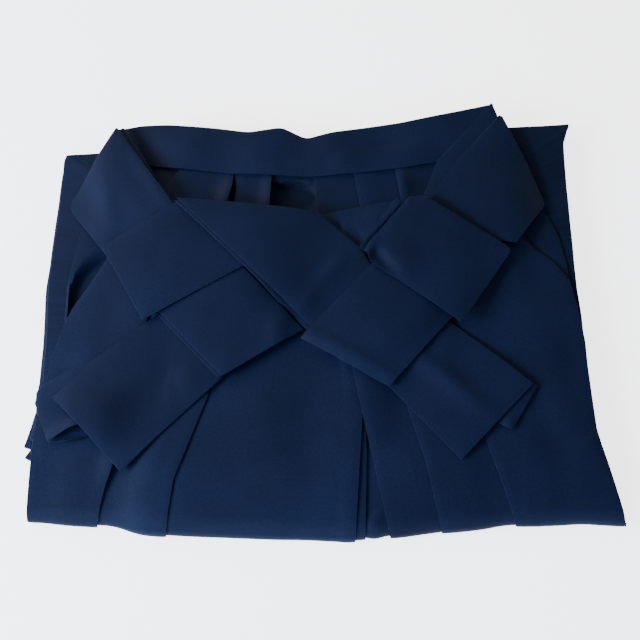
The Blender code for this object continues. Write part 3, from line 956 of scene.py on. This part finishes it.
# Soft lights: the setting that holds the power, place and target in metres, width and height, and colour
Light = namedtuple("Light", "name setting place target size colour")
LIGHTS = (
    Light("window", "window", (-1.50, -0.52, 0.76), (-0.02, 0.0, 0.0), (0.8, 0.7), "#D3E2FF"),
    Light("back_light", "back", (-1.15, 1.00, 0.95), (-0.05, 0.1, 0.0), (1.3, 1.0), "#FFF0E2"),
    Light("front_light", "front", (-0.60, -1.3, 0.72), (-0.02, -0.05, 0.0), (1.0, 0.4), "#9CC2FF"),
)

# The camera as fitted to the photo: its place is measured from the middle of the plan tables
CAMERA_PLACE = (0.0, -0.47973184, 1.02878825)
CAMERA_LENS = 72.0
CAMERA_SENSOR = 36.0

# Half width of the floor and its depth below the table's zero, in metres
FLOOR_REACH = 4.0
FLOOR_DEPTH = 0.0002


def area_light(light, power):
    """A rectangular light at its place, turned to its target."""
    data = bpy.data.lights.new(light.name, "AREA")
    data.shape = "RECTANGLE"
    data.size, data.size_y = light.size
    data.energy = power
    data.color = linear(light.colour)
    lamp = bpy.data.objects.new(light.name, data)
    lamp.location = light.place
    lamp.rotation_euler = (Vector(light.target) - Vector(light.place)).to_track_quat("-Z", "Y").to_euler()
    bpy.context.scene.collection.objects.link(lamp)


class HAKAMA_OT_stage(bpy.types.Operator):
    """Make the floor, the lights and the camera"""

    bl_idname = "hakama.stage"
    bl_label = "Stage"

    def execute(self, context):
        settings = context.scene.hakama_stage
        mesh = bpy.data.meshes.new("floor")
        corners = [(x * FLOOR_REACH, y * FLOOR_REACH, -FLOOR_DEPTH)
                   for x, y in ((-1, -1), (1, -1), (1, 1), (-1, 1))]
        mesh.from_pydata(corners, [], [(0, 1, 2, 3)])
        floor = bpy.data.objects.new("floor", mesh)
        context.scene.collection.objects.link(floor)
        # Matt painted board: even and pale, with no gloss
        paint = bpy.data.materials.new("matt_painted_board")
        paint.use_nodes = True
        shader = paint.node_tree.nodes["Principled BSDF"]
        shader.inputs["Base Color"].default_value = (*settings.floor_colour, 1.0)
        shader.inputs["Roughness"].default_value = 0.9
        shader.inputs["Specular IOR Level"].default_value = 0.1
        shader.inputs["Emission Color"].default_value = (1.0, 1.0, 1.0, 1.0)
        shader.inputs["Emission Strength"].default_value = 3.0
        mesh.materials.append(paint)
        world = bpy.data.worlds.new("room")
        world.use_nodes = True
        back = world.node_tree.nodes["Background"]
        back.inputs["Color"].default_value = (*linear("#F4F7FF"), 1.0)
        back.inputs["Strength"].default_value = settings.sky
        context.scene.world = world
        for light in LIGHTS:
            area_light(light, getattr(settings, light.setting))
        lens = bpy.data.cameras.new("camera")
        lens.lens, lens.sensor_width = CAMERA_LENS, CAMERA_SENSOR
        camera = bpy.data.objects.new("camera", lens)
        x, y, z = CAMERA_PLACE
        camera.location = (x - CENTRE[0] * MM, y - CENTRE[1] * MM, z)
        camera.rotation_euler = (np.pi / 2 - settings.elevation, 0.0, 0.0)
        context.scene.collection.objects.link(camera)
        context.scene.camera = camera
        return {"FINISHED"}


class HAKAMA_PT_panel(bpy.types.Panel):
    """Lists the pieces in the order in which they are laid"""

    bl_idname = "HAKAMA_PT_panel"
    bl_label = "Folded hakama"
    bl_space_type = "VIEW_3D"
    bl_region_type = "UI"
    bl_category = "Hakama"

    def draw(self, context):
        for group in (context.scene.hakama_cloth, context.scene.hakama_stage):
            for key in group.__annotations__:
                self.layout.prop(group, key)
        for operator in OPERATORS:
            self.layout.operator(operator.bl_idname)


OPERATORS = (
    HAKAMA_OT_hidden_layers,
    HAKAMA_OT_back_panel,
    HAKAMA_OT_back_pleats,
    HAKAMA_OT_back_waist_band,
    HAKAMA_OT_front_panels,
    HAKAMA_OT_front_waist_band,
    HAKAMA_OT_front_ties_lower,
    HAKAMA_OT_back_tie_left,
    HAKAMA_OT_back_tie_right_upper,
    HAKAMA_OT_front_tie_left_upper,
    HAKAMA_OT_back_tie_right_over,
    HAKAMA_OT_stage,
)
CLASSES = (HakamaCloth, HakamaStage, *OPERATORS, HAKAMA_PT_panel)


def register():
    for made in CLASSES:
        bpy.utils.register_class(made)
    bpy.types.Scene.hakama_cloth = bpy.props.PointerProperty(type=HakamaCloth)
    bpy.types.Scene.hakama_stage = bpy.props.PointerProperty(type=HakamaStage)


def unregister():
    del bpy.types.Scene.hakama_stage
    del bpy.types.Scene.hakama_cloth
    for made in reversed(CLASSES):
        bpy.utils.unregister_class(made)


def main():
    register()
    for operator in OPERATORS:
        group, name = operator.bl_idname.split(".")
        getattr(getattr(bpy.ops, group), name)()


if __name__ == "__main__":
    main()
